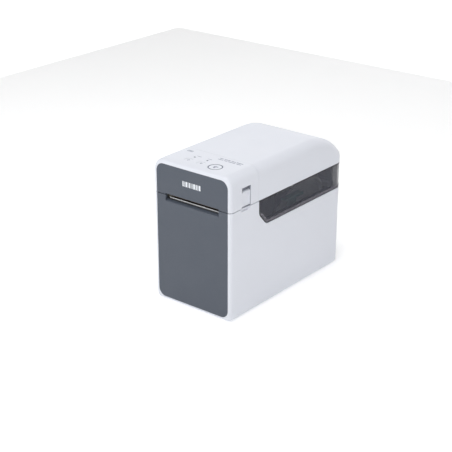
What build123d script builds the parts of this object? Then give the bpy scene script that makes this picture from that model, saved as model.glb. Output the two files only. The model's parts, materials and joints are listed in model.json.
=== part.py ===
"""Desktop direct thermal label printer, 2 inch class, built as an assembly of separate pieces.

Millimetres, +Z up. The origin is on the table under the middle of the printer. The label comes out
at the front, which faces -Y. The lid hinges along the rear edge.
"""
from build123d import *
from functools import lru_cache
import math
import os

# ---- driving dimensions -------------------------------------------------------------------
WIDTH = 110.0
DEPTH = 215.0
HEIGHT = 172.0
FOOT_PROUD = 0.6            # the rubber feet lift the casing this far off the table
WALL = 2.4
REAR_ARC_R = 80.0           # long curve over the back of the lid
REAR_ARC_END = math.radians(44)    # direction of its normal where the tighter curve takes over
REAR_CORNER_R = 12.6        # tighter curve down to the back face
SIDE_ROUND = 12.0           # long top edges and rear upright edges
BASE_ROUND = 6.0            # bottom edges
FRONT_ROUND = 4.0           # all round the front face
NOSE_DROP = 1.6             # the top dips this much towards the front
NOSE_RUN = 12.0

PARTING_Z = 131.5           # line between the casing and the lid
PARTING_GAP = 0.8
WINDOW_BOTTOM_Z = 100.0
WINDOW_FRONT_Y = -58.0
WINDOW_CHAMFER_Y = 13.2
WINDOW_CHAMFER_Z = 14.7
WINDOW_GAP = 0.45
COVER_SEAM_Y = -59.0        # joint between the lid's front and rear covers
SEAM_GAP = 0.25

PANEL_HALF_W = 50.6         # slate front panels
PANEL_BOTTOM_Z = 4.6
PANEL_TOP_Z = 167.2
PANEL_CORNER = 9.5
PANEL_THICK = 1.2

SLOT_HALF_W = 38.0          # label exit slot
SLOT_BOTTOM_Z = 125.6
LIP_HALF_W = 40.0           # the panels' thickened lip round the exit
LIP_BACK_Y = 3.3            # depth of that lip behind the front face

HINGE_Y = 104.5
HINGE_Z = 100.0
HINGE_R = 3.0
HINGE_PIN_R = 1.25
RUN_FIT = 0.05              # radial clearance of a shaft in its hole
HINGE_CLEAR = 0.3

PLATEN_Y = -96.0
PLATEN_Z = 122.4
PLATEN_R = 5.6
PLATEN_HALF = 32.5
GEAR_MODULE = 0.6
PLATEN_TEETH = 24
IDLER_SMALL_TEETH = 14
IDLER_BIG_TEETH = 40
PINION_TEETH = 12
IDLER_DIR = math.radians(-60)    # from the platen to the idler, in the YZ plane
PINION_DIR = math.radians(-75)   # from the idler to the motor pinion

ROLL_Y = 27.0               # label roll bay
ROLL_Z = 82.0
BAY_R = 66.0
BAY_HALF_W = 37.0
GUIDE_INNER = 32.0          # inner face of a roll guide at its widest setting
RACK_PINION_R = 6.0
RACK_MODULE = 1.0

LEVER_Y0, LEVER_Y1 = -88.0, -73.8
LEVER_Z0, LEVER_Z1 = 133.2, 150.6
LATCH_Y, LATCH_Z = -66.0, 139.0

FRONT_Y = -DEPTH / 2
REAR_Y = DEPTH / 2
SIDE_X = WIDTH / 2


# ---- small solid makers -------------------------------------------------------------------
def slab(x0, x1, y0, y1, z0, z1):
    """Box between two corners."""
    return Pos((x0 + x1) / 2, (y0 + y1) / 2, (z0 + z1) / 2) * Box(x1 - x0, y1 - y0, z1 - z0)


def rod_x(radius, x0, x1, y, z):
    return Pos((x0 + x1) / 2, y, z) * Rot(0, 90, 0) * Cylinder(radius, x1 - x0)


def rod_y(radius, x, y0, y1, z):
    return Pos(x, (y0 + y1) / 2, z) * Rot(90, 0, 0) * Cylinder(radius, y1 - y0)


def rod_z(radius, x, y, z0, z1):
    return Pos(x, y, (z0 + z1) / 2) * Cylinder(radius, z1 - z0)


def prism_x(points, x0, x1):
    """Extrudes a closed outline of (y, z) points from x0 to x1."""
    face = Plane.YZ.offset(x0) * make_face(Polyline(*points, close=True))
    return extrude(face, amount=x1 - x0)


def prism_y(points, y0, y1):
    """Extrudes a closed outline of (x, z) points from y0 to y1."""
    face = Plane.XZ.offset(-y1) * make_face(Polyline(*points, close=True))
    return extrude(face, amount=y1 - y0)


def rounded_slab_z(x, y, size_x, size_y, radius, z0, z1):
    """Upright plate with rounded corners, seen from above."""
    return extrude(Plane.XY.offset(z0) * Pos(x, y) * RectangleRounded(size_x, size_y, radius), amount=z1 - z0)


def mirror_x(shape):
    return mirror(shape, about=Plane.YZ)


def both_sides(shape):
    return shape + mirror_x(shape)


def gather(*shapes):
    """Separate solids kept in one node."""
    solids = []
    for shape in shapes:
        solids.extend(shape.solids())
    return Compound(children=solids)


def spur_gear(teeth, module, x0, x1, y, z, phase, bore):
    """Spur gear on an X axis. phase is the direction of one tooth's middle, in radians in YZ."""
    pitch_r = teeth * module / 2
    root_r = pitch_r - 1.2 * module
    tip_r = pitch_r + 0.85 * module
    step = 2 * math.pi / teeth
    points = []
    for k in range(teeth):
        middle = phase + k * step
        for share, radius in ((-0.30, root_r), (-0.11, tip_r), (0.11, tip_r), (0.30, root_r)):
            angle = middle + share * step
            points.append((y + radius * math.cos(angle), z + radius * math.sin(angle)))
    return prism_x(points, x0, x1) - rod_x(bore, x0 - 1, x1 + 1, y, z)


def screw_down(x, y, z_head, length):
    """Pan head screw, head down, cross recess, driven upwards."""
    body = rod_z(2.6, x, y, z_head, z_head + 1.6) + rod_z(1.2, x, y, z_head + 1.6, z_head + length)
    recess = slab(x - 1.4, x + 1.4, y - 0.3, y + 0.3, z_head - 1, z_head + 0.8)
    recess += slab(x - 0.3, x + 0.3, y - 1.4, y + 1.4, z_head - 1, z_head + 0.8)
    return body - recess


def coil(radius, wire, turns, x, y, z0, z1):
    """Compression spring as a helix of round wire standing on z0."""
    rise = z1 - z0 - wire
    path = Helix(pitch=rise / turns, height=rise, radius=radius)
    start = path.position_at(0)
    profile = Plane(origin=start, z_dir=path.tangent_at(0)) * Circle(wire / 2)
    return Pos(x, y, z0 + wire / 2) * sweep(profile, path=path, is_frenet=True)


# ---- the outer form that casing, lid, window and panels share -------------------------------
@lru_cache(maxsize=None)
def envelope(inset):
    """The printer's outer form, moved inwards by inset."""
    front, rear = FRONT_Y + inset, REAR_Y - inset
    bottom, top = FOOT_PROUD + inset, HEIGHT - inset
    sweep = Vector(math.cos(REAR_ARC_END), math.sin(REAR_ARC_END))
    reach = REAR_ARC_R - REAR_CORNER_R
    arc_centre = Vector(REAR_Y - REAR_CORNER_R - reach * sweep.X, HEIGHT - REAR_ARC_R)
    corner_centre = arc_centre + reach * sweep
    nose, crown = (front, top - NOSE_DROP), (front + NOSE_RUN, top)
    curve_start = (arc_centre.X, top)
    curve_join = arc_centre + (REAR_ARC_R - inset) * sweep
    curve_end = (rear, corner_centre.Y)
    outline = [
        Line((front, bottom), nose),
        TangentArc(crown, nose, tangent=(-1, 0)),
        Line(crown, curve_start),
        TangentArc(curve_start, curve_join, tangent=(1, 0)),
        TangentArc(curve_join, curve_end, tangent=(sweep.Y, -sweep.X)),
        Polyline(curve_end, (rear, bottom), (front, bottom)),
    ]
    half = SIDE_X - inset
    form = extrude(Plane.YZ * make_face(outline), amount=half, both=True)

    def lies_on_side(edge):
        return all(abs(abs(v.X) - half) < 1e-6 for v in edge.vertices())

    upper = [
        e for e in form.edges()
        if lies_on_side(e) and e.center().Z > bottom + 1 and abs(e.center().Y - front) > 1e-6
    ]
    form = fillet(upper, SIDE_ROUND - inset)
    lower = [
        e for e in form.edges()
        if all(abs(v.Z - bottom) < 1e-6 for v in e.vertices()) and e.center().Y > front + 1e-3
    ]
    form = fillet(lower, max(BASE_ROUND - inset, 1.0))
    face_edge = [e for e in form.edges() if all(abs(v.Y - front) < 1e-6 for v in e.vertices())]
    return fillet(face_edge, max(FRONT_ROUND - inset, 1.0))


OUTER = envelope(0)
INNER = envelope(WALL)
SHELL = OUTER - INNER
FAR = 400.0


def window_zone(gap):
    """Everything the smoky window band takes up, grown by gap at its front and bottom."""
    front, low = WINDOW_FRONT_Y - gap, WINDOW_BOTTOM_Z - gap
    points = [
        (front, PARTING_Z),
        (front, WINDOW_BOTTOM_Z + WINDOW_CHAMFER_Z - gap / 2),
        (WINDOW_FRONT_Y + WINDOW_CHAMFER_Y - gap / 2, low),
        (FAR, low),
        (FAR, PARTING_Z),
    ]
    zone = prism_x(points, -FAR, FAR)
    bends = [e for e in zone.edges() if abs(e.length - 2 * FAR) < 1e-3 and e.center().Y < 0
             and low - 1e-6 <= e.center().Z < PARTING_Z - 1]
    return fillet(bends, 10.0)


def panel_zone(grow, y_back):
    """The slate front panel's outline, grown by grow, from far in front back to y_back."""
    height = PANEL_TOP_Z - PANEL_BOTTOM_Z
    middle = (PANEL_TOP_Z + PANEL_BOTTOM_Z) / 2
    outline = RectangleRounded(2 * (PANEL_HALF_W + grow), height + 2 * grow, PANEL_CORNER + grow)
    return extrude(Plane.XZ.offset(-y_back) * Pos(0, middle) * outline, amount=FAR)


BELOW_PARTING = slab(-FAR, FAR, -FAR, FAR, -FAR, PARTING_Z - PARTING_GAP / 2)
ABOVE_PARTING = slab(-FAR, FAR, -FAR, FAR, PARTING_Z + PARTING_GAP / 2, FAR)


# ---- base: casing and what is fixed inside it ----------------------------------------------
KNUCKLE_MID = 13.7          # half length of the middle hinge knuckle
KNUCKLE_IN, KNUCKLE_OUT = 36.3, 42.0
COVER_HALF_X, COVER_HALF_Y = 44.0, 97.0     # bottom cover plate
SCREW_SPOTS = [(sx * 40.5, y) for sx in (-1, 1) for y in (-88.0, 0.0, 88.0)]
FOOT_SPOTS = [(sx * 30.0, sy * 80.0) for sx in (-1, 1) for sy in (-1, 1)]
FOOT_R = 8.0
POST_SPOTS = [(sx * 36.0, y) for sx in (-1, 1) for y in (-97.0, -68.0)]
FRAME_FLOOR_Z = 72.0
PLATE_X = 40.0              # inner face of the mechanism's side plates
PLATE_THICK = 1.2
STRIKE_Y, STRIKE_Z, STRIKE_R = -61.0, 127.4, 1.5
JACK_X, JACK_Z, JACK_R = 34.0, 15.5, 4.6
USB_X, USB_Z, USB_W, USB_H = 12.0, 15.0, 12.0, 11.0
SERIAL_X, SERIAL_Z, SERIAL_W, SERIAL_H = -20.0, 15.5, 31.0, 12.6
BOARD_Z = 7.9
FANFOLD_Z0, FANFOLD_Z1, FANFOLD_HALF = 81.0, 90.0, 33.0


def slot_cut():
    """Label exit with its bevelled lip below and a small bevel above."""
    points = [
        (FRONT_Y - 1, SLOT_BOTTOM_Z - 2.0),
        (FRONT_Y + 4.0, SLOT_BOTTOM_Z + 0.8),
        (FRONT_Y + 7.0, SLOT_BOTTOM_Z + 0.8),
        (FRONT_Y + 7.0, PARTING_Z + 1.0),
        (FRONT_Y - 1, PARTING_Z + 1.6),
    ]
    return prism_x(points, -SLOT_HALF_W, SLOT_HALF_W)


def exit_lip(z0, z1):
    return slab(-LIP_HALF_W, LIP_HALF_W, FRONT_Y + 0.6, FRONT_Y + LIP_BACK_Y, z0, z1)


def hinge_relief():
    """Room at the rear edge for the lid's barrel to turn."""
    low = HINGE_Z - HINGE_R - HINGE_CLEAR
    return slab(-50.5, 50.5, HINGE_Y - HINGE_R - HINGE_CLEAR, FAR, low, FAR)


def base_knuckle(x0, x1):
    barrel = rod_x(HINGE_R, x0, x1, HINGE_Y, HINGE_Z)
    web = slab(x0, x1, HINGE_Y - HINGE_R, HINGE_Y, 90.0, HINGE_Z)
    web += slab(x0, x1, HINGE_Y - HINGE_R, HINGE_Y + HINGE_R, 90.0, HINGE_Z - HINGE_R - HINGE_CLEAR)
    return (barrel + web) & OUTER


def finger_notch():
    """Scoop under a release lever, so that a fingertip can get below it."""
    scoop = slab(SIDE_X - 1.5, SIDE_X + 2, LEVER_Y0 - 2.0, LEVER_Y1 - 1.2, 128.2, 140)
    corners = [e for e in scoop.edges() if abs(e.length - 3.5) < 1e-6 and e.center().Z < 130]
    return fillet(corners, 2.5)


def make_lower_casing():
    body = SHELL & BELOW_PARTING
    body -= window_zone(0)
    # backing of the slate panel, left open behind the exit's lip
    body += slab(-PANEL_HALF_W, PANEL_HALF_W, FRONT_Y + 2.3, FRONT_Y + 3.6, 8, 130.6)
    body -= slab(-LIP_HALF_W - 4, LIP_HALF_W + 4, FRONT_Y - 1, FRONT_Y + 7, 108, FAR)
    # thick wall behind each finger notch, and the seats of the strike pins
    body += both_sides(slab(SIDE_X - 4.4, SIDE_X - 2.3, -94, -70, 122, 130.9))
    body += both_sides(slab(47.5, SIDE_X - 2.3, STRIKE_Y - 2.4, STRIKE_Y + 2.4, 123.6, 130.6))
    body -= both_sides(rod_x(STRIKE_R, 42, 50.0, STRIKE_Y, STRIKE_Z))
    body -= (OUTER - envelope(PANEL_THICK + 0.1)) & panel_zone(0.15, FRONT_Y + 4)
    body -= both_sides(finger_notch())
    body -= hinge_relief()
    for x0, x1 in ((-KNUCKLE_MID, KNUCKLE_MID), (KNUCKLE_IN, KNUCKLE_OUT), (-KNUCKLE_OUT, -KNUCKLE_IN)):
        body += base_knuckle(x0, x1)
    body -= rod_x(HINGE_PIN_R, -43, 43, HINGE_Y, HINGE_Z)
    # bottom ledge that the cover plate closes, its screw bosses and the mechanism's posts
    body += rounded_slab_z(0, 0, 2 * (SIDE_X - 2.3), DEPTH - 4.6, 6, 3.1, 4.7) & INNER
    body -= rounded_slab_z(0, 0, 2 * COVER_HALF_X + 0.5, 2 * COVER_HALF_Y + 0.5, 5.2, -1, 3.1)
    body -= rounded_slab_z(0, 0, 2 * COVER_HALF_X - 14, 2 * COVER_HALF_Y - 12, 4, 0, 5)
    for x, y in SCREW_SPOTS:
        body += rod_z(3.4, x, y, 3.1, 12)
        body -= rod_z(1.25, x, y, 2, 11)
    for x, y in POST_SPOTS:
        body += rod_z(3.2, x, y, 3.5, FRAME_FLOOR_Z) + slab(
            min(x, math.copysign(52.8, x)), max(x, math.copysign(52.8, x)), y - 0.9, y + 0.9, 3.5, 60)
    # openings in the back: power, USB, serial and fan-fold labels
    body -= rod_y(JACK_R + 0.4, JACK_X, 100, 110, JACK_Z)
    body -= slab(USB_X - USB_W / 2 - 0.4, USB_X + USB_W / 2 + 0.4, 100, 110,
                 USB_Z - USB_H / 2 - 0.4, USB_Z + USB_H / 2 + 0.4)
    body -= slab(SERIAL_X - SERIAL_W / 2 - 0.4, SERIAL_X + SERIAL_W / 2 + 0.4, 100, 110,
                 SERIAL_Z - SERIAL_H / 2 - 0.4, SERIAL_Z + SERIAL_H / 2 + 0.4)
    body -= slab(-FANFOLD_HALF, FANFOLD_HALF, 98, 110, FANFOLD_Z0, FANFOLD_Z1)
    return body


def make_front_panel_lower():
    plate = (OUTER - envelope(PANEL_THICK)) & panel_zone(0, FRONT_Y + 3) & BELOW_PARTING
    return plate + (exit_lip(116, PARTING_Z) & BELOW_PARTING) - slot_cut()


def make_bottom_cover():
    plate = rounded_slab_z(0, 0, 2 * COVER_HALF_X, 2 * COVER_HALF_Y, 5, FOOT_PROUD + 0.2, 3.0)
    for x, y in FOOT_SPOTS:
        plate -= rod_z(FOOT_R + 0.1, x, y, 0, FOOT_PROUD + 1.2)
    for x, y in SCREW_SPOTS:
        plate -= rod_z(3.0, x, y, 0, FOOT_PROUD + 1.8) + rod_z(1.5, x, y, 0, 4)
    for row in range(-5, 6):
        for column in (-1, 0, 1):
            plate -= rounded_slab_z(column * 16, row * 6.0, 12, 2.2, 1.0, 0, 4)
    return plate


def make_rubber_feet():
    pads = [rod_z(FOOT_R, x, y, 0, FOOT_PROUD + 1.2) for x, y in FOOT_SPOTS]
    return gather(*[chamfer(p.edges().filter_by(GeomType.CIRCLE).sort_by(Axis.Z)[0], 0.4) for p in pads])


def make_base_screws():
    return gather(*[screw_down(x, y, FOOT_PROUD + 0.2, 9.0) for x, y in SCREW_SPOTS])


def make_roll_tub():
    """Cradle of the label roll: a trough with a flange that closes the gap to the casing."""
    top, flange = 96.0, 94.0
    outside = rod_x(BAY_R + 2, -BAY_HALF_W - 2, BAY_HALF_W + 2, ROLL_Y, ROLL_Z)
    outside &= slab(-FAR, FAR, -FAR, FAR, 0, top)
    outside += slab(-BAY_HALF_W - 2, BAY_HALF_W + 2, ROLL_Y - BAY_R - 2, ROLL_Y + BAY_R + 2, ROLL_Z, top)
    plate = slab(-51.6, 51.6, -53.0, 100.6, flange, top)
    plate -= both_sides(rounded_slab_z(51.6, 100.6, 20, 20, 9, 0, 200) - slab(0, 46, 0, 95, 0, 200)) & slab(
        -FAR, FAR, 96, FAR, 0, 200)
    tub = outside + plate + slab(-FANFOLD_HALF - 3, FANFOLD_HALF + 3, 92, 100.6, FANFOLD_Z0 - 2, flange)
    tub -= rod_x(BAY_R, -BAY_HALF_W, BAY_HALF_W, ROLL_Y, ROLL_Z)
    tub -= slab(-BAY_HALF_W, BAY_HALF_W, ROLL_Y - BAY_R, ROLL_Y + BAY_R, ROLL_Z, top + 1)
    tub -= slab(-FANFOLD_HALF, FANFOLD_HALF, 90, 110, FANFOLD_Z0, FANFOLD_Z1)
    reach = GUIDE_INNER + 3.6
    tub -= slab(9.0, reach, ROLL_Y + 5.4, ROLL_Y + 9.6, 0, 40)
    tub -= slab(-reach, -9.0, ROLL_Y - 9.6, ROLL_Y - 5.4, 0, 40)
    return tub


def make_rack_tray():
    """Shallow tray on the bottom cover that the roll guides' racks run in."""
    tray = slab(-36.5, 36.5, ROLL_Y - 14, ROLL_Y + 14, 3.0, 7.0)
    tray += slab(-36.5, 36.5, ROLL_Y - 14, ROLL_Y - 10.2, 7.0, 11.6)
    tray += slab(-36.5, 36.5, ROLL_Y + 10.2, ROLL_Y + 14, 7.0, 11.6)
    return tray + rod_z(1.6, 0, ROLL_Y, 7.0, 12.0)


def make_main_board():
    board = slab(-46, 46, 52, 103.5, BOARD_Z, BOARD_Z + 1.6)
    for x, y in SCREW_SPOTS:
        board -= rod_z(4.4, x, y, 0, 20)
    chips = slab(-30, -16, 62, 76, BOARD_Z + 1.6, BOARD_Z + 3.4)
    chips += slab(2, 12, 60, 70, BOARD_Z + 1.6, BOARD_Z + 3.0)
    for x in (22.0, 31.0, 40.0):
        chips += rod_z(3.2, x, 68.0, BOARD_Z + 1.6, BOARD_Z + 8.5)
    stand = slab(-35, 35, 56, 62, 3.0, BOARD_Z)
    return board + chips + stand


def make_dc_jack():
    body = slab(JACK_X - 4.6, JACK_X + 4.6, 92.5, 105.0, BOARD_Z + 1.6, JACK_Z + 4.6)
    body += rod_y(JACK_R, JACK_X, 100, REAR_Y - 0.6, JACK_Z)
    body -= rod_y(2.9, JACK_X, 96, 110, JACK_Z)
    return body + rod_y(1.05, JACK_X, 95.5, REAR_Y - 1.6, JACK_Z)


def make_usb_port():
    shell = slab(USB_X - USB_W / 2, USB_X + USB_W / 2, 91.0, REAR_Y - 0.6, BOARD_Z + 1.6, USB_Z + USB_H / 2)
    shell -= slab(USB_X - 4.3, USB_X + 4.3, 95, 110, USB_Z - 3.9, USB_Z + 3.9)
    return shell + slab(USB_X - 2.8, USB_X + 2.8, 94, REAR_Y - 1.6, USB_Z - 1.6, USB_Z + 1.6)


def make_serial_port():
    flange = slab(SERIAL_X - SERIAL_W / 2, SERIAL_X + SERIAL_W / 2, 103.5, REAR_Y - 0.7,
                  SERIAL_Z - SERIAL_H / 2, SERIAL_Z + SERIAL_H / 2)
    flange += slab(SERIAL_X - 12, SERIAL_X + 12, 92, 104, BOARD_Z + 1.6, SERIAL_Z + 5)
    cup = [(SERIAL_X - 8.6, SERIAL_Z + 4.2), (SERIAL_X + 8.6, SERIAL_Z + 4.2),
           (SERIAL_X + 7.0, SERIAL_Z - 4.2), (SERIAL_X - 7.0, SERIAL_Z - 4.2)]
    flange -= prism_y(cup, 99.0, 110)
    for k in range(9):
        row, place = (0, k) if k < 5 else (1, k - 5)
        x = SERIAL_X + (place - 2 + 0.5 * row) * 2.77
        flange += rod_y(0.5, x, 98.5, REAR_Y - 2.4, SERIAL_Z + 1.4 - 2.8 * row)
    for sx in (-1, 1):
        nut = Plane.XZ.offset(-(REAR_Y - 0.7)) * Pos(SERIAL_X + sx * 12.5, SERIAL_Z) * RegularPolygon(2.6, 6)
        flange += extrude(nut, amount=-0.6) - rod_y(1.3, SERIAL_X + sx * 12.5, 105, 110, SERIAL_Z)
    return flange


def make_latch_strikes():
    """Steel pins that the lid's hooks catch."""
    pin = rod_x(STRIKE_R, 42.6, 50.0, STRIKE_Y, STRIKE_Z)
    return gather(pin, mirror_x(pin))


def make_hinge_pin():
    return rod_x(HINGE_PIN_R, -42.0, 42.0, HINGE_Y, HINGE_Z)


# ---- base: drive for the platen roller ------------------------------------------------------
SHAFT_R = 2.5
GEAR_X0, GEAR_X1 = -44.4, -41.6         # layer of the platen gear and the idler's small wheel
WHEEL_X0, WHEEL_X1 = -47.6, -45.0       # layer of the idler's big wheel and the motor pinion
IDLER_PIN_R = 1.5
MOTOR_R = 17.5
MOTOR_SHAFT_R = 1.0
SMALL_GAP = GEAR_MODULE * (PLATEN_TEETH + IDLER_SMALL_TEETH) / 2
BIG_GAP = GEAR_MODULE * (IDLER_BIG_TEETH + PINION_TEETH) / 2
IDLER_Y = PLATEN_Y + SMALL_GAP * math.cos(IDLER_DIR)
IDLER_Z = PLATEN_Z + SMALL_GAP * math.sin(IDLER_DIR)
MOTOR_Y = IDLER_Y + BIG_GAP * math.cos(PINION_DIR)
MOTOR_Z = IDLER_Z + BIG_GAP * math.sin(PINION_DIR)


def make_mechanism_frame():
    """Folded steel frame that holds platen, motor and gears."""
    side = [(-103.4, FRAME_FLOOR_Z), (-64.5, FRAME_FLOOR_Z), (-64.5, 104.0), (-84.0, 126.0), (-103.4, 126.0)]
    plate = prism_x(side, PLATE_X, PLATE_X + PLATE_THICK)
    plate -= rod_x(4.0, PLATE_X - 1, PLATE_X + 3, PLATEN_Y, PLATEN_Z)
    plate -= slab(PLATE_X - 1, PLATE_X + 3, PLATEN_Y - 2.6, PLATEN_Y + 2.6, PLATEN_Z, 140)
    frame = both_sides(plate)
    half = PLATE_X + PLATE_THICK
    frame += slab(-half, half, -103.4, -64.5, FRAME_FLOOR_Z, FRAME_FLOOR_Z + PLATE_THICK)
    frame -= rod_x(MOTOR_SHAFT_R + 2.0, -50, -30, MOTOR_Y, MOTOR_Z)
    frame += rod_x(IDLER_PIN_R, -48.4, -PLATE_X, IDLER_Y, IDLER_Z)
    return frame


def make_platen_bushings():
    ring = rod_x(3.95, PLATE_X - 1.4, PLATE_X + PLATE_THICK, PLATEN_Y, PLATEN_Z)
    ring -= rod_x(SHAFT_R + RUN_FIT, 30, 50, PLATEN_Y, PLATEN_Z)
    flange = rod_x(5.0, PLATE_X - 2.4, PLATE_X - 0.05, PLATEN_Y, PLATEN_Z)
    flange -= rod_x(SHAFT_R + RUN_FIT, 30, 50, PLATEN_Y, PLATEN_Z)
    return gather(ring + flange, mirror_x(ring + flange))


def make_platen_shaft():
    shaft = rod_x(3.0, -PLATEN_HALF - 2, PLATEN_HALF + 2, PLATEN_Y, PLATEN_Z)
    shaft += rod_x(SHAFT_R, GEAR_X0 - 0.4, PLATE_X + 3.0, PLATEN_Y, PLATEN_Z)
    flat = slab(GEAR_X0 - 1, GEAR_X1, PLATEN_Y - 4, PLATEN_Y + 4, PLATEN_Z + 1.9, PLATEN_Z + 4)
    return shaft - flat


def make_platen_rubber():
    sleeve = rod_x(PLATEN_R, -PLATEN_HALF, PLATEN_HALF, PLATEN_Y, PLATEN_Z)
    return sleeve - rod_x(3.0, -50, 50, PLATEN_Y, PLATEN_Z)


def make_platen_gear():
    gear = spur_gear(PLATEN_TEETH, GEAR_MODULE, GEAR_X0, GEAR_X1, PLATEN_Y, PLATEN_Z, IDLER_DIR, SHAFT_R)
    key = slab(GEAR_X0, GEAR_X1, PLATEN_Y - 1.6, PLATEN_Y + 1.6, PLATEN_Z + 1.9, PLATEN_Z + 3.2)
    return gear + key


def make_idler_gear():
    """Two wheels moulded in one, turning on the frame's pin."""
    gap_phase = IDLER_DIR + math.pi + math.pi / IDLER_SMALL_TEETH
    small = spur_gear(IDLER_SMALL_TEETH, GEAR_MODULE, WHEEL_X1, GEAR_X1, IDLER_Y, IDLER_Z, gap_phase,
                      IDLER_PIN_R + RUN_FIT)
    big = spur_gear(IDLER_BIG_TEETH, GEAR_MODULE, WHEEL_X0, WHEEL_X1, IDLER_Y, IDLER_Z, PINION_DIR,
                    IDLER_PIN_R + RUN_FIT)
    for k in range(5):
        angle = 2 * math.pi * k / 5
        big -= rod_x(1.9, -60, -30, IDLER_Y + 7.4 * math.cos(angle), IDLER_Z + 7.4 * math.sin(angle))
    return small + big


def make_motor_pinion():
    phase = PINION_DIR + math.pi + math.pi / PINION_TEETH
    pinion = spur_gear(PINION_TEETH, GEAR_MODULE, WHEEL_X0, WHEEL_X1, MOTOR_Y, MOTOR_Z, phase, MOTOR_SHAFT_R)
    return pinion + rod_x(2.6, WHEEL_X1, WHEEL_X1 + 1.6, MOTOR_Y, MOTOR_Z) - rod_x(
        MOTOR_SHAFT_R, -60, -30, MOTOR_Y, MOTOR_Z)


def make_motor_shaft():
    return rod_x(MOTOR_SHAFT_R, WHEEL_X0 - 0.4, -PLATE_X + 8, MOTOR_Y, MOTOR_Z)


def make_stepper_motor():
    can = rod_x(MOTOR_R, -PLATE_X + 0.9, -PLATE_X + 22, MOTOR_Y, MOTOR_Z)
    ears = slab(-PLATE_X + 0.05, -PLATE_X + 0.95, MOTOR_Y - 15, MOTOR_Y + 21, MOTOR_Z - 5, MOTOR_Z + 5)
    ears &= slab(-FAR, FAR, -103.2, -65, 0, FAR)
    boss = rod_x(2.8, -PLATE_X - 1.0, -PLATE_X + 1, MOTOR_Y, MOTOR_Z)
    lead_box = slab(-PLATE_X + 8, -PLATE_X + 18, MOTOR_Y + 14, MOTOR_Y + 20, MOTOR_Z - 6, MOTOR_Z + 6)
    return can + ears + boss + lead_box - rod_x(MOTOR_SHAFT_R + RUN_FIT, -60, -PLATE_X + 9, MOTOR_Y, MOTOR_Z)


TEAR_Y0, TEAR_Y1 = -103.3, -102.55
TEAR_FOOT_Z, TEAR_ROOT_Z = 123.3, 127.9     # its lower edge and the roots of its teeth
TEAR_TEETH = 50


def make_tear_bar():
    """Stainless strip with a saw edge, just in front of the platen."""
    half = SLOT_HALF_W - 1.0
    tooth = 2 * half / TEAR_TEETH
    edge = [(-half + tooth * (k + 0.5 * j), TEAR_ROOT_Z + 0.7 * j) for k in range(TEAR_TEETH) for j in (0, 1)]
    outline = edge + [(half, TEAR_ROOT_Z), (half, TEAR_FOOT_Z), (-half, TEAR_FOOT_Z)]
    return prism_y(outline, TEAR_Y0, TEAR_Y1)


def make_tear_bar_bracket():
    """Black moulding across the exit that backs the tear bar and hides the drive."""
    front, back, low = TEAR_Y0 - 0.6, TEAR_Y1 + 0.55, 106.5
    groove_z, lip_z, rest_z = TEAR_FOOT_Z - 0.1, TEAR_ROOT_Z - 0.9, TEAR_ROOT_Z - 0.5
    points = [
        (front, low), (back, low), (back, rest_z), (TEAR_Y1, rest_z), (TEAR_Y1, groove_z),
        (TEAR_Y0, groove_z), (TEAR_Y0, lip_z), (front, lip_z),
    ]
    return prism_x(points, -39.6, 39.6)


def make_label_guide():
    """Ramp that leads the labels up from the roll to the platen."""
    points = [(-50.5, 97.0), (-57.5, 112.0), (-88.6, 126.6), (-89.4, 125.0), (-59.0, 110.6), (-52.6, 96.6)]
    ramp = prism_x(points, -PLATE_X + 0.3, PLATE_X - 0.3)
    fences = [(-57.5, 111.6), (-88.0, 126.2), (-86.0, 128.0), (-59.0, 115.4)]
    ramp += both_sides(prism_x(fences, 33.2, 34.6))
    ramp -= slab(-3, 3, -80, -70, 110, 130)
    return ramp + slab(-PLATE_X + 0.3, PLATE_X - 0.3, -55.2, -53.2, 90.0, 101.0)


def make_gap_sensor():
    """Optical sensor that reads the gaps between labels through the ramp's window."""
    lens = slab(-2.8, 2.8, -79.8, -70.2, 113.2, 118.4)
    return lens + slab(-5, 5, -81, -69, 111.6, 113.2) + rod_z(1.2, 0, -75, 118.4, 119.2)


# ---- base: label roll guides ----------------------------------------------------------------
LOCK_Y, LOCK_Z = 27.0, 90.0      # pivot of the green guide lock lever
LOCK_HEAD_Z = 105.6


def roll_guide_plate():
    """Right hand guide's plate: a broad shoulder with a rounded back, ribbed along its edge."""
    outer_x = GUIDE_INNER + 2.4
    outline = Polyline((ROLL_Y - 26, 30), (ROLL_Y + 52, 30), (ROLL_Y + 62, 60), (ROLL_Y + 62, 104),
                       (ROLL_Y + 52, 117), (ROLL_Y + 22, 122), (ROLL_Y - 22, 96), (ROLL_Y - 40, 60),
                       close=True)
    face = Plane.YZ.offset(GUIDE_INNER) * fillet(make_face(outline).vertices(), 7)
    plate = extrude(face, amount=outer_x - GUIDE_INNER)
    inner_face = Plane.YZ.offset(outer_x) * offset(make_face(outline), -2.5, kind=Kind.INTERSECTION)
    rim = extrude(face, amount=6.6) - extrude(inner_face, amount=5)
    rim -= slab(outer_x, 60, LOCK_Y - 20, LOCK_Y + 20, 80, 140) + slab(outer_x + 2.2, 60, -FAR, FAR, 0, 97.2)
    reach = BAY_R - 0.8
    within = rod_x(reach, 0, 60, ROLL_Y, ROLL_Z) + slab(0, 60, ROLL_Y - reach, ROLL_Y + reach, ROLL_Z, 200)
    return (plate + rim) & within


def rack(x0, x1, y_back, y_pitch, shift):
    """Toothed bar along X. Its teeth face y_pitch; shift places the first tooth's middle."""
    side = 1 if y_pitch > y_back else -1
    pitch = math.pi * RACK_MODULE
    root, tip = y_pitch - side * 1.15, y_pitch + side * 0.8
    bar = slab(x0, x1, min(y_back, root), max(y_back, root), 7.6, 10.6)
    first = math.ceil((x0 + 1.2 - shift) / pitch)
    last = math.floor((x1 - 1.2 - shift) / pitch)
    for k in range(first, last + 1):
        middle = shift + k * pitch
        face = Polyline((middle - 1.1, root), (middle - 0.42, tip), (middle + 0.42, tip),
                        (middle + 1.1, root), close=True)
        bar += extrude(Plane.XY.offset(7.6) * make_face(face), amount=3.0)
    return bar


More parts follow.
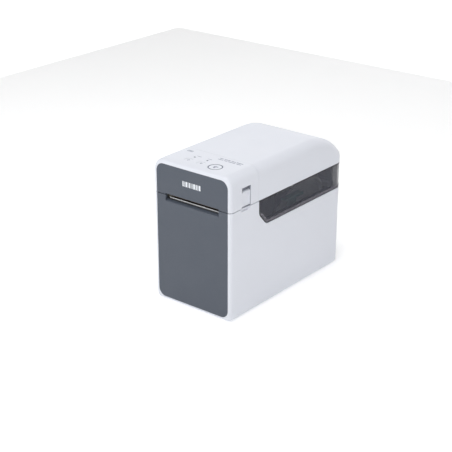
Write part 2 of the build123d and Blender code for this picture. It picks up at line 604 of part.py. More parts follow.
def guide_foot(side_y):
    """Leg from the plate down through the trough's slot to the rack."""
    y0, y1 = sorted((ROLL_Y + side_y * 5.9, ROLL_Y + side_y * 9.1))
    return slab(GUIDE_INNER, GUIDE_INNER + 2.4, y0, y1, 8.0, 40)


def make_roll_guide_right():
    guide = roll_guide_plate() + guide_foot(1)
    guide += slab(GUIDE_INNER, GUIDE_INNER + 3.2, ROLL_Y - 8, ROLL_Y + 9.1, 18, 31)
    guide += rack(-5.0, GUIDE_INNER + 2.4, ROLL_Y + 9.6, ROLL_Y + RACK_PINION_R, RACK_MODULE * math.pi / 2)
    guide += rod_x(4.0, GUIDE_INNER + 2.4, GUIDE_INNER + 4.0, ROLL_Y, ROLL_Z)
    return guide - rod_x(1.5, 0, 60, LOCK_Y, LOCK_Z)


def make_roll_guide_left():
    guide = mirror_x(roll_guide_plate()) + mirror_x(guide_foot(-1))
    guide += mirror_x(slab(GUIDE_INNER, GUIDE_INNER + 3.2, ROLL_Y - 9.1, ROLL_Y + 8, 18, 31))
    guide += rack(-GUIDE_INNER - 2.4, 5.0, ROLL_Y - 9.6, ROLL_Y - RACK_PINION_R, RACK_MODULE * math.pi / 2)
    return guide + mirror_x(rod_x(4.0, GUIDE_INNER + 2.4, GUIDE_INNER + 4.0, ROLL_Y, ROLL_Z))


def make_guide_pinion():
    """Wheel that keeps the two guides centred on the label path."""
    teeth = round(2 * RACK_PINION_R / RACK_MODULE)
    step = 2 * math.pi / teeth
    points = []
    for k in range(teeth):
        middle = math.pi / 2 + k * step
        for share, radius in ((-0.33, RACK_PINION_R - 1.15), (-0.13, RACK_PINION_R + 0.75),
                              (0.13, RACK_PINION_R + 0.75), (0.33, RACK_PINION_R - 1.15)):
            angle = middle + share * step
            points.append((radius * math.cos(angle), ROLL_Y + radius * math.sin(angle)))
    wheel = extrude(Plane.XY.offset(7.7) * make_face(Polyline(*points, close=True)), amount=2.8)
    return wheel - rod_z(1.6 + RUN_FIT, 0, ROLL_Y, 5, 15)


def make_guide_lock_lever():
    """Green T-headed lever on the right hand guide; tipping it frees the guides."""
    x0 = GUIDE_INNER + 2.7
    stem = prism_x([(LOCK_Y - 5, 86.6), (LOCK_Y + 5, 86.6), (LOCK_Y + 6, LOCK_HEAD_Z + 1),
                    (LOCK_Y - 6, LOCK_HEAD_Z + 1)], x0, x0 + 1.8)
    head = slab(x0, x0 + 8.0, LOCK_Y - 17, LOCK_Y + 17, LOCK_HEAD_Z, LOCK_HEAD_Z + 3.4)
    head = fillet(head.edges().filter_by(Axis.X), 1.4)
    brace = slab(x0, x0 + 6.0, LOCK_Y - 5, LOCK_Y + 5, 98.0, LOCK_HEAD_Z + 1)
    return stem + head + brace + rod_x(1.45, GUIDE_INNER + 0.2, x0, LOCK_Y, LOCK_Z)


# ---- lid: covers and windows ----------------------------------------------------------------
POCKET_X = 51.4                 # floor of the recess that a release lever sits in
RECESS_TOP_Z = 155.4
BUTTONS = {                     # name: (x, y, radius)
    "power_button": (-18.3, -90.6, 4.8),
    "feed_button": (-0.5, -90.6, 4.8),
    "print_button": (19.0, -89.6, 8.6),
}
LED_SPOTS = [(-18.6, -79.4), (-0.5, -79.6)]
LED_R = 0.9
BUTTON_TOP_Z = HEIGHT - 0.12
BUTTON_GAP = 0.2
BOSS_SPOTS = [(sx * 36.0, y) for sx in (-1, 1) for y in (-94.0, -66.0, -46.0)]
FRAME_TOP_Z = 152.0
TONGUE_HALF = 40.0


def window_band(outer_inset, inner_inset, z0, z1):
    band = (envelope(outer_inset) - envelope(inner_inset)) & slab(0, FAR, -FAR, FAR, z0, z1)
    return (band & window_zone(-WINDOW_GAP)) - slab(-1, TONGUE_HALF + 0.4, 60, FAR, 0, FAR)


def make_window_right():
    """Smoky side window that wraps round the rear corner, with its rim and fixing lip."""
    top = PARTING_Z - PARTING_GAP / 2
    glass = window_band(0.2, 2.2, 0, top)
    glass += window_band(2.1, 4.0, WINDOW_BOTTOM_Z, WINDOW_BOTTOM_Z + 3.4)
    lip = (envelope(2.7) - envelope(4.0)) & slab(0, FAR, WINDOW_FRONT_Y + 1.5, FAR, 128.6, 138.0)
    lip += (envelope(2.1) - envelope(4.0)) & slab(0, FAR, WINDOW_FRONT_Y + 1.5, FAR, 128.6, top)
    glass += lip - slab(-1, TONGUE_HALF + 0.4, 60, FAR, 0, FAR)
    barrel = rod_x(HINGE_R, KNUCKLE_OUT + 0.4, 50.0, HINGE_Y, HINGE_Z) & envelope(0.2)
    web = slab(KNUCKLE_OUT + 0.4, 50.0, HINGE_Y - 1.6, REAR_Y, HINGE_Z, HINGE_Z + 4)
    glass += barrel + (web & envelope(0.2))
    return glass - rod_x(HINGE_R + HINGE_CLEAR, TONGUE_HALF, KNUCKLE_OUT + 0.4, HINGE_Y, HINGE_Z)


def make_lid_rear_cover():
    body = (SHELL & ABOVE_PARTING) & slab(-FAR, FAR, COVER_SEAM_Y + SEAM_GAP / 2, FAR, 0, FAR)
    body += SHELL & slab(-TONGUE_HALF, TONGUE_HALF, 95, FAR, HINGE_Z, PARTING_Z + 2)
    body += both_sides(rod_x(HINGE_R, KNUCKLE_MID + 0.3, KNUCKLE_IN - 0.3, HINGE_Y, HINGE_Z))
    web = slab(KNUCKLE_MID + 0.3, KNUCKLE_IN - 0.3, HINGE_Y - 1.0, REAR_Y, HINGE_Z, HINGE_Z + 5)
    body += both_sides(web & OUTER)
    body -= rod_x(HINGE_R + HINGE_CLEAR, -KNUCKLE_MID - 0.3, KNUCKLE_MID + 0.3, HINGE_Y, HINGE_Z)
    body -= both_sides(rod_x(HINGE_R + HINGE_CLEAR, KNUCKLE_IN - 0.3, FAR, HINGE_Y, HINGE_Z))
    body -= rod_x(HINGE_PIN_R + RUN_FIT, -43, 43, HINGE_Y, HINGE_Z)
    for x in (-30.0, 0.0, 30.0):
        body += slab(x - 0.8, x + 0.8, -36, 96, 110, HEIGHT - 1) & (INNER - envelope(WALL + 3.5))
    for x, y in BOSS_SPOTS:
        if y > COVER_SEAM_Y:
            body += rod_z(3.2, x, y, FRAME_TOP_Z + 0.1, HEIGHT - 1) & envelope(1) - rod_z(1.2, x, y, 150, 162)
    return body


def lever_recess(x0, grow):
    return slab(x0, FAR, LEVER_Y0 - 0.5 - grow, LEVER_Y1 + 1.0 + grow, 100, RECESS_TOP_Z + grow)


def make_lid_front_cover():
    body = (SHELL & ABOVE_PARTING) & slab(-FAR, FAR, -FAR, COVER_SEAM_Y - SEAM_GAP / 2, 0, FAR)
    body += slab(-PANEL_HALF_W, PANEL_HALF_W, FRONT_Y + 2.3, FRONT_Y + 3.6, PARTING_Z + 0.6, 164)
    lap = envelope(WALL - 0.1) - envelope(WALL + 1.1)
    body += lap & slab(-FAR, FAR, COVER_SEAM_Y - 4, COVER_SEAM_Y - 0.2, 140, FAR)
    tongue = slab(-FAR, FAR, COVER_SEAM_Y - 1, COVER_SEAM_Y + 3.5, 140, FAR)
    body += (envelope(WALL + 0.15) - envelope(WALL + 1.1)) & tongue
    pocket_zone = slab(POCKET_X - 1.2, SIDE_X - 2.2, -FAR, FAR, PARTING_Z + 0.6, FAR)
    body += both_sides(lever_recess(POCKET_X - 1.2, 1.2) & pocket_zone)
    body -= both_sides(lever_recess(POCKET_X, 0))
    body -= both_sides(slab(POCKET_X - 2, POCKET_X + 1, -81.0, -75.0, 134.0, 143.0))
    body -= (OUTER - envelope(PANEL_THICK + 0.1)) & panel_zone(0.15, FRONT_Y + 4)
    body -= slab(-LIP_HALF_W - 0.3, LIP_HALF_W + 0.3, FRONT_Y - 1, FRONT_Y + 7, 0, 137.3)
    for x, y, radius in BUTTONS.values():
        body -= rod_z(radius + BUTTON_GAP, x, y, 160, HEIGHT + 1)
    for x, y in LED_SPOTS:
        body -= rod_z(LED_R, x, y, 160, HEIGHT + 1)
    for x, y in BOSS_SPOTS:
        if y < COVER_SEAM_Y:
            boss = rod_z(3.2, x, y, FRAME_TOP_Z + 0.1, HEIGHT - 1) & envelope(1.5)
            body += boss - rod_z(1.2, x, y, 150, 162)
    return body


def make_front_panel_upper():
    plate = (OUTER - envelope(PANEL_THICK)) & panel_zone(0, FRONT_Y + 3) & ABOVE_PARTING
    return plate + (exit_lip(PARTING_Z, 137) & ABOVE_PARTING) - slot_cut()


# ---- lid: inner frame, print head and latch ---------------------------------------------------
CHEEK_X0, CHEEK_X1 = 40.0, 42.0
HEAD_PIVOT_Y, HEAD_PIVOT_Z, HEAD_PIVOT_R = -70.0, 134.0, 1.5
HEAD_ARM_X = 36.0
HEAD_TOP_Z = 134.6
LATCH_R = 2.0
HOOK_X0, HOOK_X1 = 43.6, 46.4
CRANK_X0, CRANK_X1 = 47.8, 49.6
CRANK_Y = -77.0


def make_lid_frame():
    """Dark inner frame of the lid that carries head, latch and panel board."""
    frame = slab(-46, 46, -102.4, -39.5, FRAME_TOP_Z - 2, FRAME_TOP_Z)
    frame += both_sides(slab(CHEEK_X0, CHEEK_X1, -99.0, -61.0, 130.4, FRAME_TOP_Z - 1))
    frame += slab(-38.0, 38.0, -103.2, -101.6, 131.2, FRAME_TOP_Z - 1)
    frame += slab(-46, 46, -41.0, -39.5, 146.0, FRAME_TOP_Z)
    frame -= rod_x(LATCH_R + RUN_FIT, -60, 60, LATCH_Y, LATCH_Z)
    frame -= rod_x(HEAD_PIVOT_R, -60, 60, HEAD_PIVOT_Y, HEAD_PIVOT_Z)
    frame -= slab(-30, 30, -84, -56, 140, 160)
    for x, y in BOSS_SPOTS:
        frame -= rod_z(1.5, x, y, 140, 160)
    return frame


def make_lid_screws():
    return gather(*[screw_down(x, y, FRAME_TOP_Z - 3.6, 9.5) for x, y in BOSS_SPOTS])


def make_thermal_head():
    """Ceramic strip with its raised heater line."""
    strip = slab(-35, 35, -100.4, -87.0, 128.6, 129.9)
    return strip + (rod_x(0.5, -33, 33, PLATEN_Y, 128.85) & slab(-40, 40, -100, -90, 128.3, 129))


def make_head_heatsink():
    block = slab(0.1 - HEAD_ARM_X, HEAD_ARM_X - 0.1, -99.8, -84.0, 129.9, 133.4)
    for k in range(4):
        block -= slab(-30, 30, -96.6 + 3.0 * k, -95.2 + 3.0 * k, 131.6, 133.4)
    return block


def make_head_bracket():
    """Bent steel plate over the heat sink with two arms back to the pivot."""
    arm = slab(HEAD_ARM_X, HEAD_ARM_X + 1.2, -98, HEAD_PIVOT_Y, 130.6, HEAD_TOP_Z)
    arm += rod_x(3.3, HEAD_ARM_X, HEAD_ARM_X + 1.2, HEAD_PIVOT_Y, HEAD_PIVOT_Z)
    arm -= rod_x(HEAD_PIVOT_R + RUN_FIT, 30, 45, HEAD_PIVOT_Y, HEAD_PIVOT_Z)
    plate = slab(-HEAD_ARM_X, HEAD_ARM_X, -98, -86, 133.4, HEAD_TOP_Z)
    for x in (-20.0, 20.0):
        plate += rod_z(1.6, x, -92, HEAD_TOP_Z, HEAD_TOP_Z + 1.2)
    return plate + both_sides(arm)


def make_head_pivot_pin():
    return rod_x(HEAD_PIVOT_R, -CHEEK_X1, CHEEK_X1, HEAD_PIVOT_Y, HEAD_PIVOT_Z)


def make_head_springs():
    return gather(*[coil(2.6, 0.6, 7, x, -92, HEAD_TOP_Z + 0.05, FRAME_TOP_Z - 2.05) for x in (-20.0, 20.0)])


def make_latch_shaft():
    """Cross shaft that joins both hooks and both lever cranks."""
    shaft = rod_x(LATCH_R, -CRANK_X1, CRANK_X1, LATCH_Y, LATCH_Z)
    crank = slab(CRANK_X0, CRANK_X1, CRANK_Y, LATCH_Y, LATCH_Z - 1.1, LATCH_Z + 1.1)
    crank += rod_x(1.8, CRANK_X0, CRANK_X1, CRANK_Y, LATCH_Z)
    crank += rod_x(3.4, CRANK_X0, CRANK_X1, LATCH_Y, LATCH_Z)
    return shaft + both_sides(crank)


def make_latch_hooks():
    outline = [(LATCH_Y - 1.6, LATCH_Z + 3.2), (LATCH_Y + 3.0, LATCH_Z + 3.2), (LATCH_Y + 1.4, 128.0),
               (LATCH_Y + 0.6, 126.4), (LATCH_Y + 2.2, 126.0), (LATCH_Y + 1.9, 124.6),
               (LATCH_Y + 0.2, 123.2), (LATCH_Y - 2.0, 123.2)]
    hook = prism_x(outline, HOOK_X0, HOOK_X1) + rod_x(3.6, HOOK_X0, HOOK_X1, LATCH_Y, LATCH_Z)
    hook -= rod_x(LATCH_R, 30, 60, LATCH_Y, LATCH_Z)
    return gather(hook, mirror_x(hook))


def make_release_lever_right():
    """Finger pad in the lid's side recess, hollowed to fit a fingertip, with its lifting tab."""
    pad = slab(POCKET_X + 0.3, SIDE_X - 0.35, LEVER_Y0, LEVER_Y1, LEVER_Z0, LEVER_Z1)
    crown = [
        e for e in pad.edges().filter_by(Axis.Y)
        if e.center().Z > LEVER_Z1 - 0.1 and e.center().X > POCKET_X + 1
    ]
    pad = fillet(crown, 2.4)
    hollow = rod_y(60.0, SIDE_X + 58.55, LEVER_Y0, LEVER_Y1, 141.0)
    pad -= hollow & slab(0, 60, LEVER_Y0 + 1.0, LEVER_Y1 - 1.0, LEVER_Z0 - 1, LEVER_Z1 - 3.2)
    neck = slab(POCKET_X - 1.5, POCKET_X + 0.5, -80.4, -75.6, 134.6, 138.4)
    tab = slab(CRANK_X0 + 0.1, POCKET_X - 1.5, -80.4, -74.6, 134.2, 136.6)
    return pad + neck + tab


def make_panel_board():
    board = slab(-32, 32, -102, -70, 162.4, 164.0)
    for x, y, _ in BUTTONS.values():
        board += slab(x - 3, x + 3, y - 3, y + 3, 164.0, 166.6) + rod_z(1.7, x, y, 166.6, 167.5)
    board += slab(-6, 6, -76, -71, 164.0, 166.0)
    for x, y in ((-30, -100), (30, -100), (-30, -72), (30, -72)):
        board += rod_z(1.4, x, y, FRAME_TOP_Z, 162.4)
    return board


def make_light_pipes():
    return gather(*[rod_z(LED_R, x, y, 164.1, HEIGHT - 0.05) for x, y in LED_SPOTS])


def make_button(name):
    """Flush push button with a flange under the cover and a foot over its switch."""
    x, y, radius = BUTTONS[name]
    cap = rod_z(radius, x, y, 168.8, BUTTON_TOP_Z)
    cap = fillet(cap.edges().filter_by(GeomType.CIRCLE).sort_by(Axis.Z)[-1], 0.25)
    return cap + rod_z(radius + 0.7, x, y, 168.2, 168.9)


# ---- the nodes ------------------------------------------------------------------------------
NODES = {
    "lower_casing": make_lower_casing,
    "front_panel_lower": make_front_panel_lower,
    "bottom_cover": make_bottom_cover,
    "rubber_feet": make_rubber_feet,
    "base_screws": make_base_screws,
    "roll_tub": make_roll_tub,
    "rack_tray": make_rack_tray,
    "main_board": make_main_board,
    "dc_jack": make_dc_jack,
    "usb_port": make_usb_port,
    "serial_port": make_serial_port,
    "latch_strikes": make_latch_strikes,
    "hinge_pin": make_hinge_pin,
    "mechanism_frame": make_mechanism_frame,
    "platen_bushings": make_platen_bushings,
    "stepper_motor": make_stepper_motor,
    "tear_bar": make_tear_bar,
    "tear_bar_bracket": make_tear_bar_bracket,
    "label_guide": make_label_guide,
    "gap_sensor": make_gap_sensor,
    "platen_shaft": make_platen_shaft,
    "platen_rubber": make_platen_rubber,
    "platen_gear": make_platen_gear,
    "idler_gear": make_idler_gear,
    "motor_pinion": make_motor_pinion,
    "motor_shaft": make_motor_shaft,
    "roll_guide_left": make_roll_guide_left,
    "roll_guide_right": make_roll_guide_right,
    "guide_pinion": make_guide_pinion,
    "guide_lock_lever": make_guide_lock_lever,
    "lid_rear_cover": make_lid_rear_cover,
    "lid_front_cover": make_lid_front_cover,
    "front_panel_upper": make_front_panel_upper,
    "window_right": make_window_right,
    "window_left": lambda: mirror_x(make_window_right()),
    "lid_frame": make_lid_frame,
    "lid_screws": make_lid_screws,
    "panel_board": make_panel_board,
    "light_pipes": make_light_pipes,
    "head_pivot_pin": make_head_pivot_pin,
    "head_springs": make_head_springs,
    "thermal_head": make_thermal_head,
    "head_heatsink": make_head_heatsink,
    "head_bracket": make_head_bracket,
    "latch_shaft": make_latch_shaft,
    "latch_hooks": make_latch_hooks,
    "release_lever_right": make_release_lever_right,
    "release_lever_left": lambda: mirror_x(make_release_lever_right()),
}
for button_name in BUTTONS:
    NODES[button_name] = lambda name=button_name: make_button(name)

os.makedirs("parts", exist_ok=True)
for node_name, maker in NODES.items():
    export_step(maker(), f"parts/{node_name}.step")
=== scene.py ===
"""Looks of the desktop thermal label printer: materials, printed marks, small fittings, light and camera."""
import json
import math

import bmesh
import bpy
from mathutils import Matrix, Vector


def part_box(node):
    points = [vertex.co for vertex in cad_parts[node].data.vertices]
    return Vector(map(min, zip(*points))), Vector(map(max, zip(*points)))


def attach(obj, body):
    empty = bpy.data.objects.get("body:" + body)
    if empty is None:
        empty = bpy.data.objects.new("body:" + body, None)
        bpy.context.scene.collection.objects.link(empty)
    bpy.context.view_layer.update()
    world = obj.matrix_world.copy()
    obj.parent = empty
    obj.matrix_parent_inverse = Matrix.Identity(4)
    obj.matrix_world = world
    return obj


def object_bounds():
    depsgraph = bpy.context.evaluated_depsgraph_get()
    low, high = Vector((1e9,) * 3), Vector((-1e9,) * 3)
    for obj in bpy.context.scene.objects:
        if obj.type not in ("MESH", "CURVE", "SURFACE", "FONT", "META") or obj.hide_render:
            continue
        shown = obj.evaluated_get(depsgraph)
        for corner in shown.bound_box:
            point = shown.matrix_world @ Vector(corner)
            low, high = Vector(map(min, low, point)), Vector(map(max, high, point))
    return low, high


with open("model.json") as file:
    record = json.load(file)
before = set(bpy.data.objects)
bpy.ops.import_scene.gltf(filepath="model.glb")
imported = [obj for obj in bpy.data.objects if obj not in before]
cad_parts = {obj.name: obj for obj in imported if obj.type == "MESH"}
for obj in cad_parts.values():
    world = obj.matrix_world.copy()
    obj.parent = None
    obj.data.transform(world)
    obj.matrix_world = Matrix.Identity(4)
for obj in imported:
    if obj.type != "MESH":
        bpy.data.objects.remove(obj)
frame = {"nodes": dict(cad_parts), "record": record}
cad_low, cad_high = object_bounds()
nodes = frame["nodes"]
MM = 0.001
SIDES = (("right", 1), ("left", -1))
NOISE_PER_GRAIN = 0.6        # noise scale for bumps that are one metre across
NOISE_ROUGHNESS = 0.55
MOULD_EDGE = 0.25 * MM       # radius left on the edges of moulded parts
METAL_EDGE = 0.2 * MM


# ---- material kit -----------------------------------------------------------------------------
class Surface:
    """A Principled material that gathers its procedural detail step by step."""

    def __init__(self, name, colour, roughness, **sockets):
        self.mat = bpy.data.materials.new(name)
        self.mat.use_nodes = True
        self.tree = self.mat.node_tree
        self.shader = self.tree.nodes["Principled BSDF"]
        self.colour = (*colour, 1.0)
        self.roughness = roughness
        self.height = None
        self.shader.inputs["Base Color"].default_value = self.colour
        self.shader.inputs["Roughness"].default_value = roughness
        for socket, value in sockets.items():
            self.shader.inputs[socket.replace("_", " ")].default_value = value
        self.place = self.add("ShaderNodeTexCoord").outputs["Object"]

    def add(self, kind, **settings):
        node = self.tree.nodes.new(kind)
        for key, value in settings.items():
            setattr(node, key, value)
        return node

    def link(self, source, target):
        self.tree.links.new(source, target)

    def stretched(self, scale):
        """The object's coordinates, scaled differently along each axis."""
        mapping = self.add("ShaderNodeMapping")
        mapping.inputs["Scale"].default_value = scale
        self.link(self.place, mapping.inputs["Vector"])
        return mapping.outputs["Vector"]

    def noise(self, grain, detail=3.0, place=None):
        """Noise whose bumps are about grain metres across."""
        node = self.add("ShaderNodeTexNoise")
        node.inputs["Scale"].default_value = NOISE_PER_GRAIN / grain
        node.inputs["Detail"].default_value = detail
        node.inputs["Roughness"].default_value = NOISE_ROUGHNESS
        self.link(place or self.place, node.inputs["Vector"])
        return node.outputs["Fac"]

    def remap(self, value, low, high, start=0.3, end=0.7):
        node = self.add("ShaderNodeMapRange")
        node.inputs["From Min"].default_value = start
        node.inputs["From Max"].default_value = end
        node.inputs["To Min"].default_value = low
        node.inputs["To Max"].default_value = high
        self.link(value, node.inputs["Value"])
        return node.outputs["Result"]

    def tint(self, mask, colour, amount):
        """Mixes a second colour in where mask is high."""
        mix = self.add("ShaderNodeMix", data_type="RGBA")
        target = self.shader.inputs["Base Color"]
        if target.is_linked:
            self.link(target.links[0].from_socket, mix.inputs["A"])
        else:
            mix.inputs["A"].default_value = self.colour
        mix.inputs["B"].default_value = (*colour, 1.0)
        self.link(self.remap(mask, 0.0, amount), mix.inputs["Factor"])
        self.link(mix.outputs["Result"], target)
        return self

    def vary_roughness(self, mask, spread):
        low, high = self.roughness - spread, self.roughness + spread
        self.link(self.remap(mask, low, high), self.shader.inputs["Roughness"])
        return self

    def relief(self, height, depth):
        """Adds a bump of that depth in metres, on top of the bumps before it."""
        bump = self.add("ShaderNodeBump")
        bump.inputs["Strength"].default_value = 1.0
        bump.inputs["Distance"].default_value = depth
        self.link(height, bump.inputs["Height"])
        if self.height is not None:
            self.link(self.height, bump.inputs["Normal"])
        self.height = bump.outputs["Normal"]
        self.link(self.height, self.shader.inputs["Normal"])
        return self

    def soften_edges(self, radius):
        """Rounds sharp edges in the shading, as a mould or a deburring tool leaves them."""
        bevel = self.add("ShaderNodeBevel", samples=4)
        bevel.inputs["Radius"].default_value = radius
        self.height = bevel.outputs["Normal"]
        self.link(self.height, self.shader.inputs["Normal"])
        return self


def moulded(name, colour, roughness, grain=0.0005, depth=0.000012, cloud=0.93, **sockets):
    """Injection moulded plastic: a fine spark-eroded grain and faint flow clouds."""
    s = Surface(name, colour, roughness, **sockets)
    s.soften_edges(MOULD_EDGE)
    s.relief(s.noise(grain, 2.0), depth)
    s.relief(s.noise(grain * 14, 2.0), depth * 0.8)
    s.tint(s.noise(0.06, 3.0), tuple(c * cloud for c in colour), 0.8)
    s.vary_roughness(s.noise(0.012, 4.0), 0.05)
    return s


def brushed(name, colour, roughness, along, **sockets):
    """Metal with fine lines along one axis."""
    s = Surface(name, colour, roughness, Metallic=1.0, **sockets)
    s.soften_edges(METAL_EDGE)
    scale = tuple(0.03 if axis == along else 1.0 for axis in range(3))
    lines = s.noise(0.00035, 3.0, s.stretched(scale))
    s.relief(lines, 0.00001)
    s.vary_roughness(lines, 0.09)
    s.tint(s.noise(0.01, 4.0), tuple(c * 0.72 for c in colour), 0.7)
    return s


def white_shell():
    return moulded("white_shell", (0.73, 0.75, 0.81), 0.40, grain=0.0006, depth=0.00001, cloud=0.975).mat


def key_white():
    return moulded("key_white", (0.73, 0.75, 0.81), 0.36, grain=0.0004, depth=0.000006, cloud=0.98).mat


def slate_panel():
    s = moulded("slate_panel", (0.070, 0.084, 0.110), 0.44, grain=0.0004, depth=0.000008, cloud=0.94)
    s.tint(s.noise(0.0011, 5.0), (0.088, 0.102, 0.130), 0.25)
    return s.mat


def smoky_window():
    """Tinted glazing, faintly wavy and speckled with dust."""
    s = Surface("smoky_window", (0.038, 0.042, 0.064), 0.12, IOR=1.40, Alpha=0.48)
    s.relief(s.noise(0.02, 1.0), 0.00003)
    s.vary_roughness(s.noise(0.004, 4.0), 0.04)
    s.tint(s.noise(0.0012, 6.0), (0.048, 0.052, 0.076), 0.4)
    return s.mat


def black_frame():
    return moulded("black_frame", (0.022, 0.023, 0.026), 0.52, grain=0.0007, depth=0.00002, cloud=1.5).mat


def grey_tub():
    return moulded("grey_tub", (0.075, 0.078, 0.088), 0.50, grain=0.0007, depth=0.00002, cloud=0.85).mat


def guide_white():
    return moulded("guide_white", (0.70, 0.71, 0.69), 0.35, grain=0.001, depth=0.000008, cloud=0.95).mat


def lock_green():
    return moulded("lock_green", (0.018, 0.30, 0.215), 0.33, grain=0.0008, depth=0.000008, cloud=0.85).mat


def gear_plastic():
    return moulded("gear_plastic", (0.72, 0.69, 0.60), 0.38, grain=0.0008, depth=0.000008, cloud=0.92).mat


def connector_black():
    return moulded("connector_black", (0.016, 0.016, 0.018), 0.45, grain=0.0004, depth=0.00001, cloud=1.4).mat


def light_lens():
    s = Surface("light_lens", (0.055, 0.065, 0.085), 0.18, IOR=1.49)
    s.relief(s.noise(0.0006, 2.0), 0.00001)
    s.vary_roughness(s.noise(0.002, 3.0), 0.05)
    return s.mat


def platen_black():
    """Ground rubber: faint rings round the roller and a dusty bloom."""
    s = Surface("platen_black", (0.018, 0.018, 0.020), 0.62)
    rings = s.noise(0.0003, 3.0, s.stretched((1.0, 0.02, 0.02)))
    s.relief(rings, 0.00002)
    s.tint(s.noise(0.004, 5.0), (0.05, 0.05, 0.052), 0.5)
    s.vary_roughness(s.noise(0.006, 3.0), 0.08)
    return s.mat


def foot_rubber():
    s = Surface("foot_rubber", (0.028, 0.028, 0.031), 0.75)
    s.soften_edges(0.0003)
    s.relief(s.noise(0.0005, 4.0), 0.00006)
    s.tint(s.noise(0.003, 5.0), (0.07, 0.068, 0.064), 0.5)
    s.vary_roughness(s.noise(0.005, 3.0), 0.08)
    return s.mat


def head_ceramic():
    s = Surface("head_ceramic", (0.16, 0.125, 0.085), 0.14, Coat_Weight=0.6)
    s.relief(s.noise(0.003, 2.0), 0.00001)
    s.tint(s.noise(0.0015, 5.0), (0.09, 0.07, 0.05), 0.5)
    s.vary_roughness(s.noise(0.004, 3.0), 0.05)
    return s.mat


def circuit_board():
    """Solder resist over etched tracks that stand a little proud."""
    s = Surface("circuit_board", (0.010, 0.095, 0.040), 0.30, Coat_Weight=0.3)
    tracks = s.add("ShaderNodeTexBrick", offset=0.37)
    tracks.inputs["Scale"].default_value = 240.0
    tracks.inputs["Mortar Size"].default_value = 0.06
    tracks.inputs["Color1"].default_value = (0.25, 0.25, 0.25, 1)
    tracks.inputs["Color2"].default_value = (0.55, 0.55, 0.55, 1)
    s.link(s.place, tracks.inputs["Vector"])
    s.relief(tracks.outputs["Fac"], 0.00004)
    s.tint(tracks.outputs["Fac"], (0.035, 0.19, 0.085), 0.9)
    s.vary_roughness(s.noise(0.002, 3.0), 0.06)
    return s.mat


def steel():
    return brushed("steel", (0.56, 0.565, 0.58), 0.30, along=0).mat


def connector_metal():
    return brushed("connector_metal", (0.64, 0.64, 0.62), 0.26, along=1).mat


def heat_aluminium():
    return brushed("heat_aluminium", (0.74, 0.745, 0.76), 0.34, along=0).mat


def printed_ink(name, colour):
    """Pad printed ink: thin, slightly uneven at its edges and in its cover."""
    s = Surface(name, colour, 0.5)
    s.relief(s.noise(0.0003, 3.0), 0.000006)
    s.tint(s.noise(0.0008, 4.0), tuple(min(1.0, c * 1.25 + 0.01) for c in colour), 0.5)
    s.vary_roughness(s.noise(0.001, 3.0), 0.08)
    return s.mat


MAKERS = [white_shell, key_white, slate_panel, smoky_window, black_frame, grey_tub, guide_white, lock_green,
          gear_plastic, connector_black, light_lens, platen_black, foot_rubber, head_ceramic, circuit_board,
          steel, connector_metal, heat_aluminium]
finish = {maker.__name__: maker() for maker in MAKERS}
ink_dark = printed_ink("ink_dark", (0.060, 0.080, 0.130))
ink_grey = printed_ink("ink_grey", (0.15, 0.17, 0.25))
ink_pale = printed_ink("ink_pale", (0.74, 0.77, 0.82))
foil = printed_ink("foil", (0.62, 0.63, 0.65))
# grey for the painted shade inside the lever recesses
recess_shade_grey = printed_ink("recess_shade_grey", (0.24, 0.25, 0.29))
moulded_edge = printed_ink("moulded_edge", (0.165, 0.158, 0.190))
moulded_edge.node_tree.nodes["Principled BSDF"].inputs["Alpha"].default_value = 0.5

for part in frame["record"]["subparts"]:
    mesh = nodes[part["node"]].data
    mesh.materials.clear()
    mesh.materials.append(finish[part["material_slot"]])


# ---- mesh helpers -------------------------------------------------------------------------------
def make_piece(name, mesh, material, body):
    piece = bpy.data.objects.new(name, mesh)
    bpy.context.scene.collection.objects.link(piece)
    mesh.materials.append(material)
    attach(piece, body)
    return piece


def mesh_from(name, bm):
    mesh = bpy.data.meshes.new(name)
    bmesh.ops.recalc_face_normals(bm, faces=bm.faces)
    bm.to_mesh(mesh)
    bm.free()
    return mesh


def extrude_outline(bm, outline, hole, place, low, high):
    """Closed solid between two heights over an outline, with an optional hole of as many points.
    place(u, v, height) gives the point in space."""
    rings = []
    for loop in filter(None, (outline, hole)):
        rings.append([[bm.verts.new(place(u, v, h)) for u, v in loop] for h in (low, high)])
    for bottom, top in rings:
        for k in range(len(bottom)):
            n = (k + 1) % len(bottom)
            bm.faces.new((bottom[k], bottom[n], top[n], top[k]))
    if hole:
        for level in (0, 1):
            outer, inner = rings[0][level], rings[1][level]
            for k in range(len(outer)):
                n = (k + 1) % len(outer)
                bm.faces.new((outer[k], outer[n], inner[n], inner[k]))
    else:
        bm.faces.new(rings[0][0])
        bm.faces.new(rings[0][1])


def circle(radius, count=48, u=0.0, v=0.0):
    turn = 2 * math.pi / count
    return [(u + radius * math.cos(k * turn), v + radius * math.sin(k * turn)) for k in range(count)]


def pill(u, v, width, height, count=8):
    """Bar with round ends, or an upright one if it is taller than wide."""
    upright = height > width
    long_side, short_side = max(width, height), min(width, height)
    r, reach = short_side / 2, (long_side - short_side) / 2
    points = []
    for end, start in ((1, -math.pi / 2), (-1, math.pi / 2)):
        for k in range(count + 1):
            angle = start + math.pi * k / count
            a, b = end * reach + r * math.cos(angle), r * math.sin(angle)
            points.append((u - b, v + a) if upright else (u + a, v + b))
    return points


def rectangle(u0, u1, v0, v1):
    """Corners of a rectangle, given in millimetres."""
    return [(u * MM, v * MM) for u, v in ((u0, v0), (u1, v0), (u1, v1), (u0, v1))]


def centre(node):
    low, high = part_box(node)
    return (low + high) / 2, low, high


# ---- printed marks on the lid's top --------------------------------------------------------------
INK = 0.03 * MM
TOP_Z = cad_high.z


def on_height(z):
    return lambda u, v, h: (u, v, z + h)


def marks_on(name, outlines, z, material, body):
    """One piece of flat printed shapes: (outline, hole or None) pairs at height z."""
    bm = bmesh.new()
    for outline, hole in outlines:
        extrude_outline(bm, outline, hole, on_height(z), 0.0, INK)
    return make_piece(name, mesh_from(name, bm), material, body)


